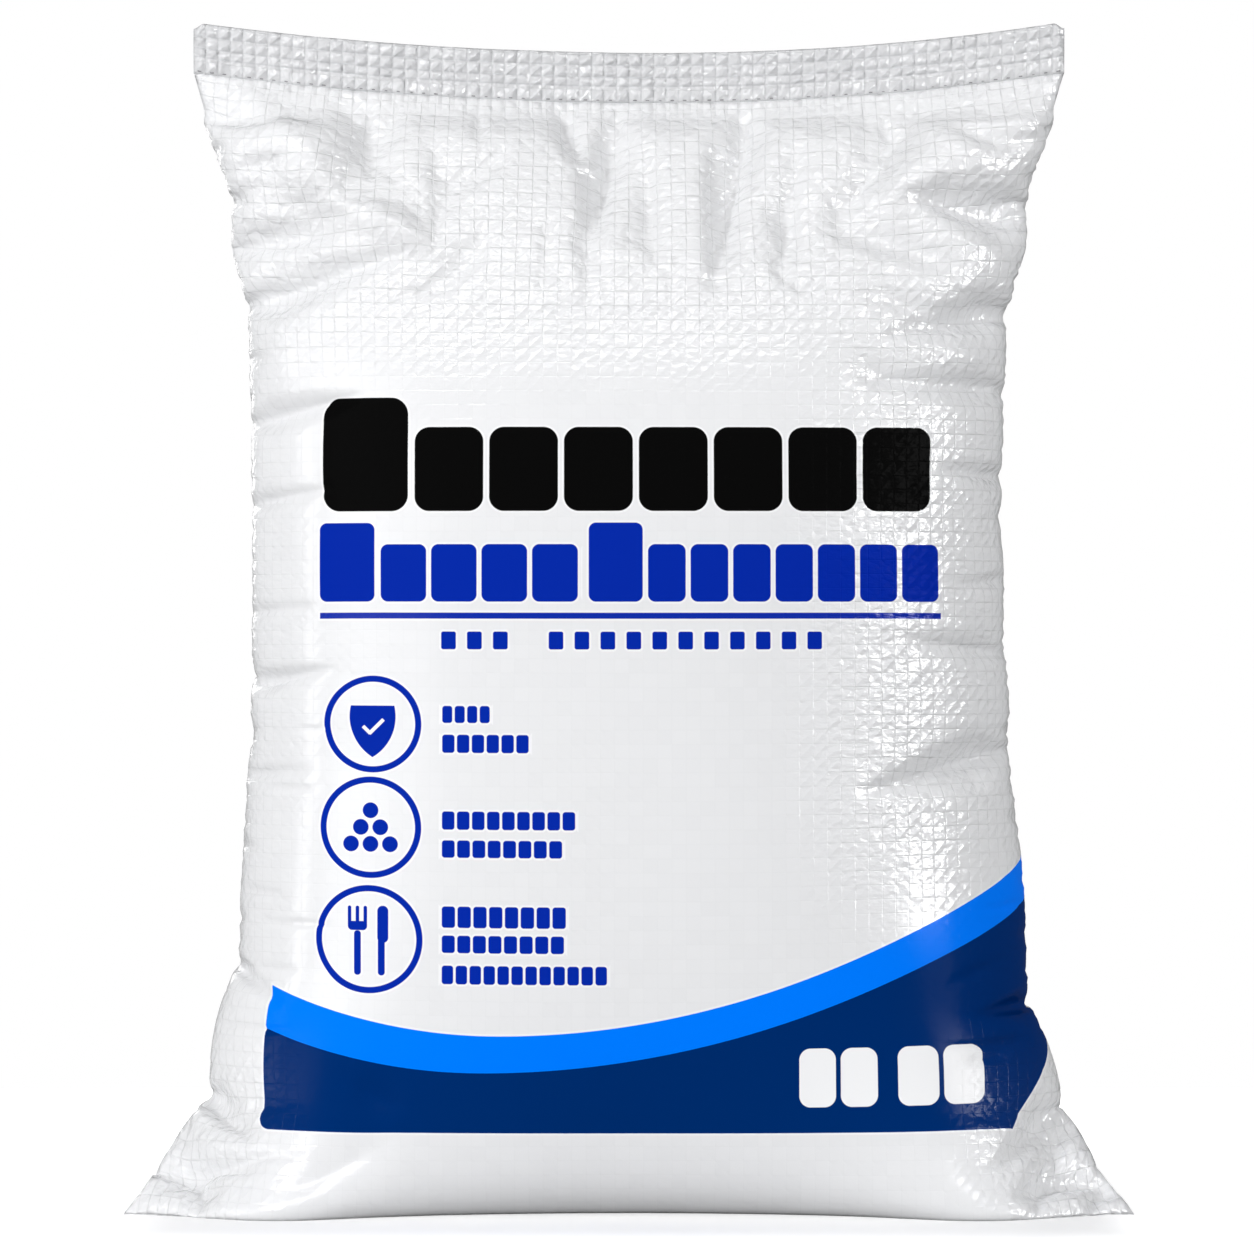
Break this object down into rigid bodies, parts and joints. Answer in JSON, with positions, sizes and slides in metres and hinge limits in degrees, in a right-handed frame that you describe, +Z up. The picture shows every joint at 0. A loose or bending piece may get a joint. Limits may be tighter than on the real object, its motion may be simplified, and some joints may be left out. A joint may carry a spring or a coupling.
{
  "type": "bag of sugar",
  "caption": "Filled woven plastic sack of sugar standing on its base, with a folded, stitched hem on top, pinched sides and two bottom corners splayed on the floor.",
  "frame": {"origin": "middle of the bounding box on the floor that the sack stands on", "axes": "+Z up, -Y the printed front, +X to the right of a viewer facing the front"},
  "size_m": [0.5472, 0.2134, 0.657],
  "materials": {
    "sack_film": "white laminated woven plastic, soft gloss, with navy, blue and black print"
  },
  "bodies": {
    "root": {"sack": "sack_film"}
  },
  "joints": []
}
